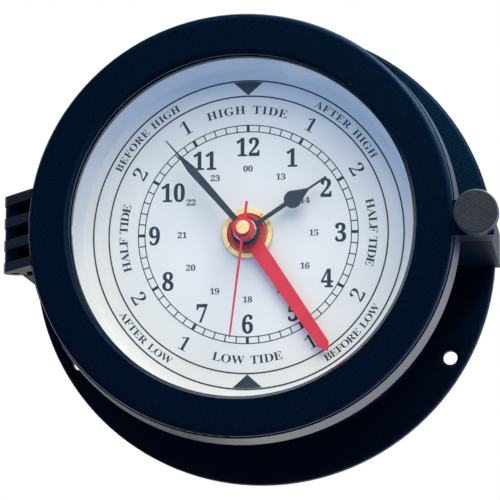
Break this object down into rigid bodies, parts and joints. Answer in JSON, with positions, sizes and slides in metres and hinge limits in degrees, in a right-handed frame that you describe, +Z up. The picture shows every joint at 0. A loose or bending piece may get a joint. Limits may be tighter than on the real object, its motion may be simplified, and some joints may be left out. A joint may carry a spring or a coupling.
{
  "type": "tide clock",
  "caption": "Wall-mounted tide clock in a round flanged case with a hinged glazed bezel, thumb screw, quartz movement and hands for time and tide.",
  "frame": {"origin": "centre of the flange's back face, on the dial's axis and in the plane of the wall", "axes": "+Z up to 12 o'clock, -Y out of the dial towards the viewer, +X to 3 o'clock where the thumb screw is; the hinge is on -X"},
  "size_m": [0.1487, 0.0635, 0.1436],
  "materials": {
    "case_finish": "fine textured matt coat, blue black",
    "black_rubber": "soft matt rubber",
    "steel": "plain steel",
    "brass": "satin brass",
    "clear_glass": "clear polished glass",
    "dark_knob": "dark anodised, turned face",
    "dial_white": "smooth matt white with slate print",
    "reflector_white": "satin white",
    "movement_plastic": "moulded black plastic",
    "plate_plastic": "moulded pale plastic",
    "wheel_plastic": "moulded pale plastic",
    "magnet": "dark sintered magnet",
    "soft_iron": "rolled soft iron",
    "copper": "enamelled copper wire",
    "board_green": "coated board",
    "chip_black": "moulded black resin",
    "battery_sleeve": null,
    "hand_red": "matt rose red paint",
    "hand_slate": "matt slate blue paint",
    "collet_silver": "fine turned"
  },
  "bodies": {
    "case": {"case_body": "case_finish", "case_seal": "black_rubber", "hinge_pin": "steel", "threaded_insert": "brass", "dial_plate": "dial_white", "dial_screws": "steel", "reflector_ring": "reflector_white", "dial_cushion": "black_rubber", "threaded_bushing": "brass", "dial_nut": "brass", "movement_housing": "movement_plastic", "movement_cover": "movement_plastic", "movement_screws": "steel", "train_plate": "plate_plastic", "middle_plate": "plate_plastic", "motor_stator": "soft_iron", "coil_core": "soft_iron", "motor_coil": "copper", "circuit_board": "board_green", "quartz_crystal": "steel", "control_chip": "chip_black", "battery": "battery_sleeve", "plus_contact": "steel", "minus_contact": "steel"},
    "bezel": {"bezel_ring": "case_finish", "glass_lens": "clear_glass", "lens_gasket": "black_rubber", "lens_retainer": "case_finish"},
    "screw_slide": {"screw_clip": "steel"},
    "screw": {"thumb_screw": "dark_knob"},
    "rotor": {"rotor_pinion": "steel", "rotor_magnet": "magnet"},
    "step_wheel": {"step_wheel": "wheel_plastic"},
    "second_train": {"second_wheel": "wheel_plastic", "second_hand": "hand_red", "second_cap": "brass"},
    "third_wheel": {"third_wheel": "wheel_plastic"},
    "centre_wheel": {"centre_wheel": "wheel_plastic"},
    "minute_train": {"cannon_pinion": "brass", "clutch_washer": "steel", "minute_hand": "hand_slate", "minute_collet": "collet_silver"},
    "minute_wheel": {"minute_wheel": "wheel_plastic"},
    "hour_train": {"hour_wheel": "wheel_plastic", "hour_hand": "hand_slate"},
    "tide_idler": {"tide_idler": "wheel_plastic"},
    "tide_train": {"tide_wheel": "brass", "tide_hand": "hand_red"},
    "setting_knob": {"setting_knob": "wheel_plastic"}
  },
  "joints": [
    {"name": "bezel_hinge", "type": "hinge", "parent": "case", "child": "bezel", "pos_m": [-0.0693, -0.0437, 0], "axis": [0, 0, -1], "range_deg": [0, 110]},
    {"name": "screw_lift", "type": "slide", "parent": "bezel", "child": "screw_slide", "axis": [0, -1, 0], "range_m": [0, 0.0044]},
    {"name": "screw_turn", "type": "hinge", "parent": "screw_slide", "child": "screw", "pos_m": [0.0693, -0.06, 0.0008], "axis": [0, -1, 0], "range_deg": [0, 3168]},
    {"name": "second_hand_turn", "type": "hinge", "parent": "case", "child": "second_train", "pos_m": [0, -0.02, 0], "axis": [0, 1, 0], "continuous": true},
    {"name": "rotor_turn", "type": "hinge", "parent": "case", "child": "rotor", "pos_m": [0.00831, -0.02, -0.0048], "axis": [0, 1, 0], "continuous": true},
    {"name": "step_wheel_turn", "type": "hinge", "parent": "case", "child": "step_wheel", "pos_m": [0.00468, -0.02, -0.0027], "axis": [0, 1, 0], "continuous": true},
    {"name": "third_wheel_turn", "type": "hinge", "parent": "case", "child": "third_wheel", "pos_m": [-0.00795, -0.02, 0.00459], "axis": [0, 1, 0], "continuous": true},
    {"name": "centre_wheel_turn", "type": "hinge", "parent": "case", "child": "centre_wheel", "pos_m": [0, -0.02, 0], "axis": [0, 1, 0], "continuous": true},
    {"name": "minute_hand_turn", "type": "hinge", "parent": "case", "child": "minute_train", "pos_m": [0, -0.02, 0], "axis": [0, 1, 0], "continuous": true},
    {"name": "minute_wheel_turn", "type": "hinge", "parent": "case", "child": "minute_wheel", "pos_m": [0.00155, -0.02, 0.0058], "axis": [0, 1, 0], "continuous": true},
    {"name": "hour_hand_turn", "type": "hinge", "parent": "case", "child": "hour_train", "pos_m": [0, -0.02, 0], "axis": [0, 1, 0], "continuous": true},
    {"name": "tide_idler_turn", "type": "hinge", "parent": "case", "child": "tide_idler", "pos_m": [0.00481, -0.02, -0.00834], "axis": [0, 1, 0], "continuous": true},
    {"name": "tide_hand_turn", "type": "hinge", "parent": "case", "child": "tide_train", "pos_m": [0, -0.02, 0], "axis": [0, 1, 0], "continuous": true},
    {"name": "setting_knob_turn", "type": "hinge", "parent": "case", "child": "setting_knob", "pos_m": [0.0033, -0.02, 0.01232], "axis": [0, 1, 0], "continuous": true}
  ],
  "couplings": [
    {"joint": "screw_turn", "follows": "screw_lift", "rad_per_m": 12566},
    {"joint": "step_wheel_turn", "follows": "second_hand_turn", "ratio": -5},
    {"joint": "rotor_turn", "follows": "second_hand_turn", "ratio": 30},
    {"joint": "third_wheel_turn", "follows": "second_hand_turn", "ratio": -0.13333},
    {"joint": "centre_wheel_turn", "follows": "second_hand_turn", "ratio": 0.016667},
    {"joint": "minute_wheel_turn", "follows": "minute_hand_turn", "ratio": -0.33333},
    {"joint": "hour_hand_turn", "follows": "minute_hand_turn", "ratio": 0.083333},
    {"joint": "tide_idler_turn", "follows": "minute_hand_turn", "ratio": -0.2375},
    {"joint": "tide_hand_turn", "follows": "minute_hand_turn", "ratio": 0.080508},
    {"joint": "setting_knob_turn", "follows": "minute_hand_turn", "ratio": 0.66667}
  ]
}
